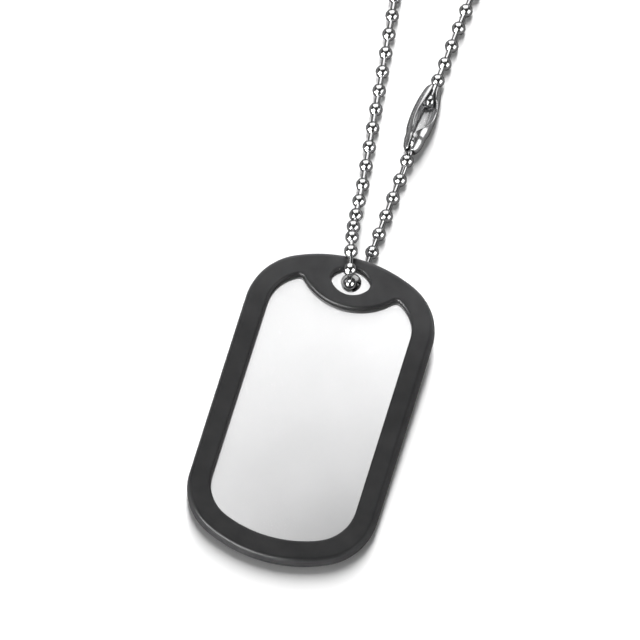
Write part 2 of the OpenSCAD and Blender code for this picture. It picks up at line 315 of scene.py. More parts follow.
# %% The outlines of the window and the eye
def window_outline(steps=14):
    """The window over the bare steel, which dips round the tab between two small nicks."""
    half, low_end, high = 12.0, 22.9, 15.85
    low_cap_r, low_r, high_r = 20.5, 6.9, 6.4
    tab_y, tab_r, nick_r = 18.15, 10.4, 1.0
    cap_y = low_end - low_cap_r
    x = half - low_r
    y = cap_y + sqrt((low_cap_r - low_r) ** 2 - x * x)
    swing = atan2(x, y - cap_y)
    corner, tab = Vector((half - high_r, high)), Vector((0, tab_y + tab_r))
    # The nick's circle touches the corner's from inside and the tab's from outside
    a, b, apart = high_r - nick_r, tab_r + nick_r, (tab - corner).length
    run = (a * a - b * b + apart * apart) / (2 * apart)
    line = (tab - corner).normalized()
    nick = corner + run * line + sqrt(a * a - run * run) * Vector((line.y, -line.x))
    out, back = (nick - corner).normalized(), (tab - nick).normalized()
    angle_out, angle_back = atan2(out.y, out.x), atan2(back.y, back.x)
    tab_angle = atan2(-back.y, -back.x)
    right_side = (
        arc(0, -cap_y, low_cap_r, -pi / 2, -pi / 2 + swing, steps)
        + arc(x, -y, low_r, -pi / 2 + swing, 0, steps)
        + straight_side(half, -y, high, steps)
        + arc(corner.x, corner.y, high_r, 0, angle_out, steps)
        + arc(nick.x, nick.y, nick_r, angle_out, angle_back, steps)
        + arc(tab.x, tab.y, tab_r, tab_angle, -pi / 2, steps, hollow=True)
    )
    tip = (0, tab_y, 0, 1)
    return right_side + [tip] + mirrored(right_side[1:])


def eye_outline(steps=12):
    """The eye-shaped opening round the hole: two wide lids and two small round corners."""
    half_x, half_y, tip_r, eye_y = 3.25, 2.35, 1.5, 22.75
    tip_x = half_x - tip_r
    lid_r = (tip_x ** 2 + half_y ** 2 - tip_r ** 2) / (2 * (half_y - tip_r))
    swing = asin(tip_x / (lid_r - tip_r))
    q = pi / 2
    return (
        arc(tip_x, eye_y, tip_r, swing - q, q - swing, steps)
        + arc(0, eye_y + half_y - lid_r, lid_r, q - swing, q + swing, steps)
        + arc(-tip_x, eye_y, tip_r, q + swing, pi + q - swing, steps)
        + arc(0, eye_y - half_y + lid_r, lid_r, pi + q - swing, pi + q + swing, steps)
    )


print("window outline:", len(window_outline()), "points; eye:", len(eye_outline()))


# %% [markdown]
# ## Skins and caps
# A moulded or punched piece is a few flat faces joined by rounded edges. A skin is a row of rings with
# quads between them, and a cap fills a flat face that may have holes in it. Built this way, each edge has
# its own radius, which a boolean cut followed by a bevel would not keep so even.

# %% Helpers that build a piece from rings
def ring(outline, grow, above):
    """An outline shifted outwards by grow, at one height above the tag's lower face."""
    return [(x + nx * grow, y + ny * grow, above) for x, y, nx, ny in outline]


def skin(bm, rings):
    """Joins rings of equal length with smooth quads. Returns the rows of vertices."""
    rows = [[bm.verts.new(on_tag(*p)) for p in r] for r in rings]
    count = len(rows[0])
    for a, b in zip(rows, rows[1:]):
        for i in range(count):
            j = (i + 1) % count
            bm.faces.new((a[i], a[j], b[j], b[i])).smooth = True
    return rows


def cap(bm, loops):
    """Fills a flat face bounded by the first loop, with the other loops as its holes."""
    every = [v for loop in loops for v in loop]
    for tri in tessellate_polygon([[v.co for v in loop] for loop in loops]):
        bm.faces.new([every[i] for i in tri]).smooth = False


def finished(name, bm):
    """Turns the building mesh into an object, with its faces pointing outwards."""
    bmesh.ops.recalc_face_normals(bm, faces=bm.faces)
    mesh = bpy.data.meshes.new(name)
    bm.to_mesh(mesh)
    bm.free()
    return into_scene(name, mesh)


def edge_curve(r, top, steps=5):
    """(shift, height) pairs of a quarter-round edge of radius r, from a flat face down a wall."""
    return [
        (r * (1 - sin(t)), top - r * (1 - cos(t)))
        for t in (pi / 2 * i / steps for i in range(steps + 1))
    ]


print("a rounded edge of 0.4 mm:", [(round(s, 2), round(z, 2)) for s, z in edge_curve(0.4, RIM_THICK)])

# %% [markdown]
# ## The rubber rim
# On a real tag this is one soft silicone moulding. It has a flat face, a small round shoulder and a side
# that swells outwards, with a fine parting line at half its height where the two mould halves met. A
# groove inside holds the plate. Only rings and caps are needed, and the groove is really there, so the
# piece is a closed skin with the plate lying free inside it.

# %% The profile of the rim's side
SHOULDER_R = 0.6
RIDGE = 0.05  # how far the parting line stands out
RIDGE_FOOT, RIDGE_TOP = 0.1, 0.045  # half its width on the side and at its top
SIDE_SHARE = 0.85  # spreads the points down the curve, which needs none where it is nearly upright


def side_profile(steps=6):
    """(shift, height) of the rim's outer side, from the upper flat face to the lower one."""
    middle = RIM_THICK / 2
    centre = SIDE_BULGE - RIDGE - SIDE_R
    across = sqrt((SIDE_R - SHOULDER_R) ** 2 - (middle - SHOULDER_R) ** 2)
    meet = atan2(middle - SHOULDER_R, across)
    half = []
    for i in range(steps):
        t = (pi / 2 - meet) * i / steps
        half.append((centre + across + SHOULDER_R * sin(t), RIM_THICK - SHOULDER_R * (1 - cos(t))))
    for i in range(steps - 1):
        t = meet * (1 - i / (steps - 1) * SIDE_SHARE)
        half.append((centre + SIDE_R * cos(t), middle + SIDE_R * sin(t)))
    half += [(centre + SIDE_R, middle + RIDGE_FOOT), (SIDE_BULGE, middle + RIDGE_TOP)]
    return half + [(s, RIM_THICK - z) for s, z in reversed(half)]


profile = side_profile()
print("rim's side:", len(profile), "points high")

# %% Build the rim
GROOVE_LOW, GROOVE_HIGH, GROOVE_GAP = 1.3, 1.9, 0.05
WINDOW_EDGE_R, EYE_EDGE_R = 0.4, 0.35
groove_outline = tag_outline(
    PLATE_WIDTH / 2 + GROOVE_GAP, PLATE_LENGTH / 2 + GROOVE_GAP,
    PLATE_END_R + GROOVE_GAP, PLATE_CORNER_R + GROOVE_GAP,
)
bm = bmesh.new()
side = skin(bm, [ring(rim_outline, shift, z) for shift, z in profile])
groove = skin(bm, [ring(groove_outline, 0, z) for z in (GROOVE_HIGH, GROOVE_LOW)])
upper_holes, lower_holes = [], []
for outline, edge_r in ((window_outline(), WINDOW_EDGE_R), (eye_outline(), EYE_EDGE_R)):
    edge = edge_curve(edge_r, RIM_THICK)
    wall = edge + [(0, GROOVE_HIGH)]
    upper_holes.append(skin(bm, [ring(outline, shift, z) for shift, z in wall]))
    wall = [(shift, RIM_THICK - z) for shift, z in edge] + [(0, GROOVE_LOW)]
    lower_holes.append(skin(bm, [ring(outline, shift, z) for shift, z in wall]))
cap(bm, [side[0]] + [rows[0] for rows in upper_holes])
cap(bm, [side[-1]] + [rows[0] for rows in lower_holes])
cap(bm, [groove[0]] + [rows[-1] for rows in upper_holes])
cap(bm, [groove[-1]] + [rows[-1] for rows in lower_holes])
rim = finished("rubber_edge_rim", bm)
print("rim:", len(rim.data.polygons), "faces")

# %% [markdown]
# Painted light on the rim's side: its colour is made lighter on the side away from its flat faces, most
# of all at the tag's free lower end, in place of the bright floor that the side would mirror. Where it
# lies follows from the piece's own shape, so it is stored on the mesh as an attribute, one number for each
# point, and the rubber's material reads it further down. Painting it by hand would do the same, but would
# have to be done again after each change of shape.

# %% Mark the painted light on the rim's side
SIDE_LIGHT_DEPTH = 0.5  # the painted light is full from this far below the flat faces
SIDE_LIGHT_ALL_ROUND = 0.3  # its share at the upper end and the long sides
painted_side_light = rim.data.attributes.new("painted_side_light", "FLOAT", "POINT")
for i, (_, z) in enumerate(profile):
    depth = min(1, (RIM_THICK / 2 - abs(z - RIM_THICK / 2)) / SIDE_LIGHT_DEPTH)
    for k, (_, _, _, outward_y) in enumerate(rim_outline):
        share = SIDE_LIGHT_ALL_ROUND + (1 - SIDE_LIGHT_ALL_ROUND) * max(0, -outward_y)
        painted_side_light.data[i * len(rim_outline) + k].value = depth * share
# The strongest painted light on the side
print("most worn:", round(max(point.value for point in painted_side_light.data), 2))

# %% [markdown]
# ## The steel plate
# The plate is stamped from thin sheet. Its cut edge and the punched hole are slightly rounded by tumbling
# and polishing, and that narrow rounding is what catches the light round the hole. It is built with the
# same rings and caps as the rim.

# %% Build the plate
HOLE_Y, HOLE_R, HOLE_STEPS = 22.9, 1.6, 48
CUT_EDGE_R, HOLE_EDGE_R = 0.1, 0.09


def sheet_edge(r, steps=3):
    """(shift, height) pairs round the sheet's edge, from its upper face to its lower one."""
    upper = edge_curve(r, PLATE_HIGH, steps)
    return upper + [(s, PLATE_LOW + PLATE_HIGH - z) for s, z in reversed(upper)]


bm = bmesh.new()
plate_outline = tag_outline(PLATE_WIDTH / 2, PLATE_LENGTH / 2, PLATE_END_R, PLATE_CORNER_R)
hole_outline = arc(0, HOLE_Y, HOLE_R, 0, 2 * pi, HOLE_STEPS)
cut_rows = skin(bm, [ring(plate_outline, -shift, z) for shift, z in sheet_edge(CUT_EDGE_R)])
hole_rows = skin(bm, [ring(hole_outline, shift, z) for shift, z in sheet_edge(HOLE_EDGE_R)])
cap(bm, [cut_rows[0], hole_rows[0]])
cap(bm, [cut_rows[-1], hole_rows[-1]])
plate = finished("polished_steel_plate", bm)
print("plate:", len(plate.data.polygons), "faces")

# %% [markdown]
# ## One bead
# A ball-chain bead is a hollow ball with two round mouths, where a pin enters on each side. It is drawn
# once, one unit across, by turning a short profile about its axis, and a shallow cone closes each mouth
# round its pin. It is repeated 180 times, so it has only a few faces, and smooth shading does the rest.
# The edge of each mouth is marked sharp, or the shading would smear the ball into the mouth.

# %% Build the bead
BEAD_SIDES, BEAD_BANDS = 12, 5
MOUTH, MOUTH_TIP = radians(26), 0.3


def make_bead():
    """A ball of diameter one about the Z axis, with a mouth at each end."""
    bm = bmesh.new()
    rows = []
    for band in range(BEAD_BANDS + 1):
        a = MOUTH + (pi - 2 * MOUTH) * band / BEAD_BANDS
        rows.append([
            bm.verts.new((0.5 * sin(a) * cos(t), 0.5 * sin(a) * sin(t), 0.5 * cos(a)))
            for t in (2 * pi * k / BEAD_SIDES for k in range(BEAD_SIDES))
        ])
    for a, b in zip(rows, rows[1:]):
        for i in range(BEAD_SIDES):
            j = (i + 1) % BEAD_SIDES
            bm.faces.new((a[i], b[i], b[j], a[j])).smooth = True
    for row, z in ((rows[0], MOUTH_TIP), (rows[-1], -MOUTH_TIP)):
        tip = bm.verts.new((0, 0, z))
        for i in range(BEAD_SIDES):
            j = (i + 1) % BEAD_SIDES
            bm.faces.new((row[i], row[j], tip)).smooth = True
            bm.edges.get((row[i], row[j])).smooth = False
    return finished("one_bead", bm)


bead = make_bead()
print("bead:", len(bead.data.polygons), "faces")

# %% [markdown]
# ## Threading the chain with Geometry Nodes
# The chain repeats one rule along a path: a bead on every point, turned along the path, and a pin on every
# edge between two points. Geometry Nodes suit that exactly. The inputs are named, so the chain can be
# made thicker or finer by changing a number, and the tree ends by realising its instances, because an
# exported model can't hold them.

# %% The path as a line of points
path_mesh = bpy.data.meshes.new("chain_path")
path_mesh.from_pydata(
    [on_table(*b) for b in beads], [(i, i + 1) for i in range(len(beads) - 1)], []
)
path = into_scene("chain_path", path_mesh)
print("path of", len(path_mesh.edges), "links")


# %% The tree and its named inputs
def add_node(tree, kind, inputs=None, **settings):
    """A new node. Each of its inputs named here gets a value, or a link from another node's output."""
    made = tree.nodes.new(kind)
    for key, value in settings.items():
        setattr(made, key, value)
    for socket, value in (inputs or {}).items():
        if isinstance(value, bpy.types.NodeSocket):
            tree.links.new(value, made.inputs[socket])
        else:
            made.inputs[socket].default_value = value
    return made


thread = bpy.data.node_groups.new("Thread a ball chain", "GeometryNodeTree")
ids = {}
for label, kind in (
    ("Path", "NodeSocketGeometry"), ("Bead", "NodeSocketObject"),
    ("Bead diameter", "NodeSocketFloat"), ("Pin diameter", "NodeSocketFloat"),
    ("Pin length", "NodeSocketFloat"), ("Pin sides", "NodeSocketInt"),
    ("Steel", "NodeSocketMaterial"),
):
    ids[label] = thread.interface.new_socket(label, in_out="INPUT", socket_type=kind).identifier
thread.interface.new_socket("Chain", in_out="OUTPUT", socket_type="NodeSocketGeometry")
given = add_node(thread, "NodeGroupInput")
print("inputs:", ", ".join(ids))

# %% Beads: one on every point of the path, turned along it
curve = add_node(thread, "GeometryNodeMeshToCurve", {"Mesh": given.outputs["Path"]})
tangent = add_node(thread, "GeometryNodeInputTangent")
along = add_node(
    thread, "FunctionNodeAlignRotationToVector", {"Vector": tangent.outputs["Tangent"]}, axis="Z",
)
info = add_node(
    thread, "GeometryNodeObjectInfo", {"As Instance": True, "Object": given.outputs["Bead"]},
)
balls = add_node(thread, "GeometryNodeInstanceOnPoints", {
    "Points": curve.outputs["Curve"], "Instance": info.outputs["Geometry"],
    "Rotation": along.outputs["Rotation"], "Scale": given.outputs["Bead diameter"],
})
print("nodes so far:", len(thread.nodes))

# %% Pins: one on every edge, turned from its first point to its second
ends = add_node(thread, "GeometryNodeInputMeshEdgeVertices")
heading = add_node(
    thread, "ShaderNodeVectorMath",
    {0: ends.outputs["Position 2"], 1: ends.outputs["Position 1"]}, operation="SUBTRACT",
)
kept = add_node(thread, "GeometryNodeCaptureAttribute", domain="EDGE")
kept.capture_items.new("VECTOR", "Heading")
thread.links.new(given.outputs["Path"], kept.inputs["Geometry"])
thread.links.new(heading.outputs["Vector"], kept.inputs["Heading"])
middles = add_node(
    thread, "GeometryNodeMeshToPoints", {"Mesh": kept.outputs["Geometry"]}, mode="EDGES",
)
pin_turn = add_node(
    thread, "FunctionNodeAlignRotationToVector", {"Vector": kept.outputs["Heading"]}, axis="Z",
)
radius = add_node(
    thread, "ShaderNodeMath", {0: given.outputs["Pin diameter"], 1: 0.5}, operation="MULTIPLY",
)
rod = add_node(thread, "GeometryNodeMeshCylinder", {
    "Vertices": given.outputs["Pin sides"], "Radius": radius.outputs["Value"],
    "Depth": given.outputs["Pin length"],
}, fill_type="NGON")

# Only the pin's side is smooth, so that its flat ends don't bend the light along it
smooth = add_node(
    thread, "GeometryNodeSetShadeSmooth", {0: rod.outputs["Mesh"], "Selection": rod.outputs["Side"]},
)
pins = add_node(thread, "GeometryNodeInstanceOnPoints", {
    "Points": middles.outputs["Points"], "Instance": smooth.outputs[0],
    "Rotation": pin_turn.outputs["Rotation"],
})
print("nodes so far:", len(thread.nodes))

# %% Join them, make them real and give them their steel
both = add_node(thread, "GeometryNodeJoinGeometry")
for shapes in (balls, pins):
    thread.links.new(shapes.outputs["Instances"], both.inputs["Geometry"])
real = add_node(thread, "GeometryNodeRealizeInstances", {"Geometry": both.outputs["Geometry"]})
paint = add_node(thread, "GeometryNodeSetMaterial", {
    "Geometry": real.outputs["Geometry"], "Material": given.outputs["Steel"],
})
add_node(thread, "NodeGroupOutput", {"Chain": paint.outputs["Geometry"]})
print("the whole tree:", len(thread.nodes), "nodes")

# %% [markdown]
# ## Materials
# Four finishes are needed: the polished plate, the brighter beads, the duller folded sheet of the
# connector, and matt silicone. Each reads the piece's Object coordinates, so its pattern stays on the
# surface from every side. Fine noise varies the colour and the roughness, because nothing that is handled
# is perfectly even.

# %% Helpers for noise-driven materials
NOISE_LOW, NOISE_HIGH = 0.3, 0.7  # nearly all of the noise lies between these


def remap(tree, value, start, stop):
    """The output of a node that stretches value from the range start to the range stop."""
    made = add_node(tree, "ShaderNodeMapRange", {
        "Value": value, "From Min": start[0], "From Max": start[1],
        "To Min": stop[0], "To Max": stop[1],
    })
    return made.outputs["Result"]


def blend_colours(tree, value, dark, light):
    """The same for colours: dark where the noise is low, light where it is high."""
    made = add_node(tree, "ShaderNodeMapRange", {"Vector": value}, data_type="FLOAT_VECTOR")
    for name, colour in (
        ("From Min", (NOISE_LOW,) * 3), ("From Max", (NOISE_HIGH,) * 3),
        ("To Min", dark), ("To Max", light),
    ):
        # The node lists its number sockets first and its vector sockets, of the same names, last
        [socket for socket in made.inputs if socket.name == name][-1].default_value = colour
    return made.outputs["Vector"]


def shader_of(mat):
    """A material's Principled shader node."""
    return mat.node_tree.nodes["Principled BSDF"]


def surface(name, dark, light, metallic, rough, scale, stretch=(1, 1, 1)):
    """A material whose colour and roughness wander between two values each."""
    mat = bpy.data.materials.new(name)
    mat.use_nodes = True
    tree, shader = mat.node_tree, shader_of(mat)
    where = add_node(tree, "ShaderNodeTexCoord")
    placed = add_node(tree, "ShaderNodeMapping", {"Vector": where.outputs["Object"], "Scale": stretch})
    noise = add_node(tree, "ShaderNodeTexNoise", {
        "Vector": placed.outputs["Vector"], "Scale": scale, "Detail": 6,
    }).outputs["Fac"]
    tree.links.new(blend_colours(tree, noise, dark, light), shader.inputs["Base Color"])
    tree.links.new(remap(tree, noise, (NOISE_LOW, NOISE_HIGH), rough), shader.inputs["Roughness"])
    shader.inputs["Metallic"].default_value = metallic
    return mat


print("colour and roughness change between noise", NOISE_LOW, "and", NOISE_HIGH)

# %% [markdown]
# A perfect mirror shows only the room, so a flat plate would turn black as soon as it mirrors something
# dark. Real polished sheet also scatters some light in its fine scratches. With three tenths of its
# light scattered and seven tenths mirrored, the plate stays bright from every side.
#
# Polished metal seen at a glancing angle is often darker than a perfect mirror, because its skin is never
# quite clean. The Principled shader's specular tint sets that edge tone on a metal, and here it gives the
# beads and the connector the dark outline that small polished things have.

# %% The three steels
plate_steel = surface(
    "polished_plate_steel", (0.84, 0.84, 0.845), (0.88, 0.88, 0.885),
    metallic=0.7, rough=(0.05, 0.08), scale=90,
)
chain_steel = surface(
    "bright_bead_steel", (0.74, 0.74, 0.745), (0.82, 0.82, 0.825),
    metallic=1.0, rough=(0.06, 0.11), scale=700,
)
clasp_steel = surface(
    "folded_sheet_steel", (0.62, 0.62, 0.625), (0.74, 0.74, 0.745),
    metallic=0.95, rough=(0.19, 0.26), scale=500, stretch=(1.6, 0.4, 1.6),
)
for steel, edge_tone in ((chain_steel, 0.12), (clasp_steel, 0.1)):
    shader_of(steel).inputs["Specular Tint"].default_value = (edge_tone, edge_tone, edge_tone, 1)
plate.data.materials.append(plate_steel)
print("steels:", plate_steel.name, chain_steel.name, clasp_steel.name)

# %% [markdown]
# The silicone is almost black and matt, with the fine grain of its mould as a bump. Two factors of
# painted light lighten its colour. The side follows the attribute that was stored on the rim, in place of
# the bright floor that the side would mirror, and the whole rim grows lighter towards the hole, in place
# of the light from behind that its sheen would catch there. Both are factors on the same colour, so they
# simply multiply.

# %% The rubber and its painted light
GRAIN_SIZE, GRAIN_DEPTH = 5200, 0.000012
SIDE_LIGHT_FACTOR = 5.5  # the side's painted light where it is full, against the bare rubber
HOLE_END_LIGHT_FACTOR = 2.1  # the same painted light for the hole's end
HOLE_END_LIGHT_FROM, HOLE_END_LIGHT_TO = 8, 26  # where along the tag the painted light starts and is full
rim_rubber = surface(
    "matt_charcoal_silicone", (0.011, 0.011, 0.0115), (0.017, 0.017, 0.0175),
    metallic=0.0, rough=(0.34, 0.42), scale=260,
)
shader, tree = shader_of(rim_rubber), rim_rubber.node_tree
shader.inputs["Specular IOR Level"].default_value = 0.28

where = add_node(tree, "ShaderNodeTexCoord")
grain = add_node(tree, "ShaderNodeTexNoise", {
    "Vector": where.outputs["Object"], "Scale": GRAIN_SIZE, "Detail": 3,
})
relief = add_node(tree, "ShaderNodeBump", {
    "Height": grain.outputs["Fac"], "Strength": 1.0, "Distance": GRAIN_DEPTH,
})
tree.links.new(relief.outputs["Normal"], shader.inputs["Normal"])

# Painted light: the stored attribute lightens the side's colour where it would mirror the bright floor
side_mark = add_node(tree, "ShaderNodeAttribute", attribute_name="painted_side_light")
side_light = remap(tree, side_mark.outputs["Fac"], (0, 1), (1.0, SIDE_LIGHT_FACTOR))
# Painted light: the rim's colour grows lighter towards the hole's end, where its sheen would catch the
# light from behind
split = add_node(tree, "ShaderNodeSeparateXYZ", {"Vector": where.outputs["Object"]})
hole_end_light_range = on_tag(0, HOLE_END_LIGHT_FROM, 0).y, on_tag(0, HOLE_END_LIGHT_TO, 0).y
hole_end_light = remap(tree, split.outputs["Y"], hole_end_light_range, (1.0, HOLE_END_LIGHT_FACTOR))
lighter = add_node(tree, "ShaderNodeMath", {0: hole_end_light, 1: side_light}, operation="MULTIPLY")
bare_rubber_colour = shader.inputs["Base Color"].links[0].from_socket
scaled = add_node(
    tree, "ShaderNodeVectorMath", {0: bare_rubber_colour, "Scale": lighter.outputs["Value"]}, operation="SCALE",
)
tree.links.new(scaled.outputs["Vector"], shader.inputs["Base Color"])
rim.data.materials.append(rim_rubber)
print("rubbed from", round(hole_end_light_range[0], 4), "to", round(hole_end_light_range[1], 4), "m")


# %% [markdown]
# ## The finished chain
# The chain's tree takes its steel as an input, so it runs only now that the steel exists. Each input is
# set by its identifier, because two inputs may bear the same name. The result is copied into a plain
# mesh, since a finished piece carries no live modifier, and then the path and the single bead can go.

# %% Thread the chain and turn it into a plain mesh
def plain_copy(obj, name):
    """A plain mesh object of what obj's modifiers make. obj itself is removed."""
    graph = bpy.context.evaluated_depsgraph_get()
    mesh = bpy.data.meshes.new_from_object(obj.evaluated_get(graph))
    mesh.name = name
    bpy.data.objects.remove(obj)
    return into_scene(name, mesh)


PIN_D, PIN_LENGTH, PIN_SIDES = 0.9, 2.0, 10
threading = path.modifiers.new("Thread a ball chain", "NODES")
threading.node_group = thread
for label, value in (
    ("Bead", bead), ("Bead diameter", BEAD_D * MM), ("Pin diameter", PIN_D * MM),
    ("Pin length", PIN_LENGTH * MM), ("Pin sides", PIN_SIDES), ("Steel", chain_steel),
):
    threading[ids[label]] = value
chain = plain_copy(path, "ball_chain_beads_and_pins")
bpy.data.objects.remove(bead)
print("chain:", len(chain.data.polygons), "faces")

# %% [markdown]
# ## The folded connector
# The connector is a strip of sheet folded into a slim barrel. Its two long edges almost meet along the
# top. One of them is scooped out into a window that lets a bead in, and beyond the window a narrow slot
# lets the chain's pin slide while the bead stays caught. The barrel is swept along its axis, row by row,
# between the two lips. Subdividing a rough cage would be quicker, but each lip has its own curve, and a
# sweep follows both exactly.

# %% The sizes of the connector and the curves of its lips
CLASP_LENGTH, CLASP_D, CLASP_END_D, CLASP_WALL = 12.3, 4.2, 2.4, 0.3
clasp_rise = (CLASP_D - CLASP_END_D) / 2
clasp_arch_r = ((CLASP_LENGTH / 2) ** 2 + clasp_rise ** 2) / (2 * clasp_rise)

# Where each lip runs, as (distance along the barrel, distance from its middle line)
LEFT_LIP = [
    (-6.15, -0.62), (-5.2, -0.76), (-4.3, -0.78), (-3.5, -0.74), (-2.5, -1.0), (-1.2, -1.28),
    (0.4, -1.35), (1.8, -1.22), (3.0, -0.94), (4.0, -0.66), (5.0, -0.48), (6.15, -0.45),
]
RIGHT_LIP = [
    (-6.15, 0.25), (-5.2, 0.12), (-4.4, -0.2), (-3.7, -0.58), (-3.0, -0.3), (-2.2, 0.45),
    (-1.4, 1.15), (-0.4, 1.66), (0.8, 1.86), (2.0, 1.76), (3.0, 1.38), (3.9, 0.82), (4.8, 0.5),
    (6.15, 0.45),
]


def along_lip(points, y):
    """A smooth reading between the points of a lip, whose slope also changes smoothly."""
    last = len(points) - 1
    slopes = []
    for i in range(last + 1):
        (y0, v0), (y1, v1) = points[max(i - 1, 0)], points[min(i + 1, last)]
        slopes.append((v1 - v0) / (y1 - y0))
    i = min(last - 1, sum(y > p[0] for p in points[1:]))
    (y0, v0), (y1, v1) = points[i], points[i + 1]
    t, run = (y - y0) / (y1 - y0), y1 - y0
    bend = slopes[i] * run * (1 - t) - slopes[i + 1] * run * t
    ease = t * t * (3 - 2 * t)
    return v0 + (v1 - v0) * ease + t * (1 - t) * bend


print("the window is", round(along_lip(RIGHT_LIP, 0.8) - along_lip(LEFT_LIP, 0.8), 2), "mm wide")

# %% [markdown]
# Hand tools leave their marks on such a small fold. The barrel is pinched to a shallow waist where its
# lips come closest, its back is pressed a little flat, and its sides draw in at both ends. Each mark is
# one term in the radius of a row, so the sweep takes them in without any extra geometry.

# %% Sweep the barrel between its lips
WAIST_Y, WAIST_RUN, WAIST_DEPTH = -3.3, 0.65, 0.08
FLAT_BACK = 0.955  # how far down the back reaches, as a share of the radius
END_RUN, END_R = 0.8, 1.153  # length of the drawn-in ends, and where their curve would close
CLASP_ROLL = radians(8)
ROWS, COLUMNS = 64, 30
LIP_LIMIT = 0.98  # keeps a lip from running past the barrel's widest line


def lip_angle(points, y, half_width):
    """The angle round the barrel, from its top, at which a lip lies."""
    return asin(max(-LIP_LIMIT, min(LIP_LIMIT, along_lip(points, y) / half_width)))


def swept_barrel(centre, heading):
    """The outer face of the connector, open between its lips."""
    bm = bmesh.new()
    grid = []
    for i in range(ROWS + 1):
        y = CLASP_LENGTH * (i / ROWS - 0.5)
        r = CLASP_D / 2 - clasp_arch_r + sqrt(clasp_arch_r ** 2 - y * y)
        r *= 1 - WAIST_DEPTH * exp(-((y - WAIST_Y) / WAIST_RUN) ** 2)
        into_end = max(0, abs(y) - CLASP_LENGTH / 2 + END_RUN)
        half_width = r * sqrt(1 - (into_end / END_R) ** 2)
        start = lip_angle(RIGHT_LIP, y, half_width)
        stop = 2 * pi + lip_angle(LEFT_LIP, y, half_width)
        row = []
        for k in range(COLUMNS + 1):
            a = start + (stop - start) * k / COLUMNS + CLASP_ROLL
            x, z = half_width * sin(a), r * max(cos(a), -FLAT_BACK)
            row.append(bm.verts.new(on_table(
                centre[0] + x * cos(heading) - y * sin(heading),
                centre[1] + x * sin(heading) + y * cos(heading),
                centre[2] + z,
            )))
        grid.append(row)
    for a, b in zip(grid, grid[1:]):
        for k in range(COLUMNS):
            bm.faces.new((a[k], a[k + 1], b[k + 1], b[k])).smooth = True
    bm.normal_update()
    mesh = bpy.data.meshes.new("barrel_sheet")
    bm.to_mesh(mesh)
    bm.free()
    return into_scene("barrel_sheet", mesh)


clasp_centre = loop_point(2 * half_loop - clasp_at, CLASP_Z)
sheet = swept_barrel(clasp_centre, TURN - FAN)
back_face = sheet.data.polygons[ROWS // 2 * COLUMNS + COLUMNS // 2]
if (back_face.center - on_table(*clasp_centre)).dot(back_face.normal) < 0:
    sheet.data.flip_normals()
print("barrel sheet:", len(sheet.data.polygons), "faces")

# %% [markdown]
# The swept face has no thickness yet. A Solidify modifier grows the sheet inwards from it, and a small
# Bevel rounds the lips so that they catch the light. Both could be built by hand, but as modifiers each
# is one number that is easy to change.

# %% Give the sheet its thickness and round its lips
LIP_R, LIP_SEGMENTS, SHARP_FROM = 0.11, 3, radians(50)
thick = sheet.modifiers.new("Sheet thickness", "SOLIDIFY")
thick.thickness, thick.offset, thick.use_even_offset = CLASP_WALL * MM, -1, True
lips = sheet.modifiers.new("Rounded lips", "BEVEL")
lips.width, lips.segments = LIP_R * MM, LIP_SEGMENTS
lips.limit_method, lips.angle_limit = "ANGLE", SHARP_FROM
connector = plain_copy(sheet, "folded_barrel_connector")
connector.data.materials.clear()
connector.data.materials.append(clasp_steel)
print("connector:", len(connector.data.polygons), "faces")


# %% [markdown]
# ## Floor
# The object lies on a plain pale surface. It is one large flat face, far wider than the chain, so no view
# of the object shows its edge. The metal mirrors it as a dark grey instead of white, as if black card lay
# just outside the picture, because a small bead on a white table would otherwise lose its dark lower edge.

# %% Floor
def flat_panel(name, size_x, size_y):
    """One flat face about the origin, facing up."""
    mesh = bpy.data.meshes.new(name)
    x, y = size_x / 2, size_y / 2
    mesh.from_pydata([(-x, -y, 0), (x, -y, 0), (x, y, 0), (-x, y, 0)], [], [(0, 1, 2, 3)])
    return into_scene(name, mesh)


FLOOR_SIZE, FLOOR_GREY, FLOOR_IN_METAL = 8, 0.9, 0.16
floor = flat_panel("pale_floor", FLOOR_SIZE, FLOOR_SIZE)
floor_mat = bpy.data.materials.new("pale_floor")
floor_mat.use_nodes = True
shader, tree = shader_of(floor_mat), floor_mat.node_tree
shader.inputs["Roughness"].default_value = 1.0
shader.inputs["Specular IOR Level"].default_value = 0.0
ray = add_node(tree, "ShaderNodeLightPath")
floor_tone = remap(tree, ray.outputs["Is Glossy Ray"], (0, 1), (FLOOR_GREY, FLOOR_IN_METAL))
tree.links.new(floor_tone, shader.inputs["Base Color"])
floor.data.materials.append(floor_mat)
floor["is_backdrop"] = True
print("floor", FLOOR_SIZE, "m square")


# %% [markdown]
# ## Studio light
# Polished steel has no look of its own: it shows the lights round it. So the lamps that light the scene
# and the panels that the metal mirrors are set up apart. The key is a tall narrow lamp behind and to the
# left, which throws short shadows towards the camera. It stands five metres off, or the floor would be
# brighter near it. A weak low lamp in front opens the shadows on the rim's side. Three wide panels are
# seen only in reflections, and give every bead one broad spark at the top and two round ones below, and a
# low bright strip draws the line of light on the rim's side. Between them the metal mirrors almost
# nothing, which draws the dark lines on each bead.

# %% Lights
LIT_SPOT = on_table(0, 10, 0)  # what every lamp is aimed at, on the tag's upper half


def softbox(name, direction, distance, size_x, size_y, radiance, lights_up=True, mirrored_too=True):
    """An area light that faces the tag, as bright as a lamp of that radiance."""
    data = bpy.data.lights.new(name, "AREA")
    data.shape, data.size, data.size_y = "RECTANGLE", size_x, size_y
    data.energy = radiance * size_x * size_y * pi
    obj = into_scene(name, data)
    d = Vector(direction).normalized()
    aim = d.to_track_quat("Z", "Y").to_matrix().to_4x4()
    obj.matrix_world = Matrix.Translation(LIT_SPOT + d * distance) @ aim
    obj.visible_diffuse, obj.visible_glossy = lights_up, mirrored_too
    obj.visible_camera = False


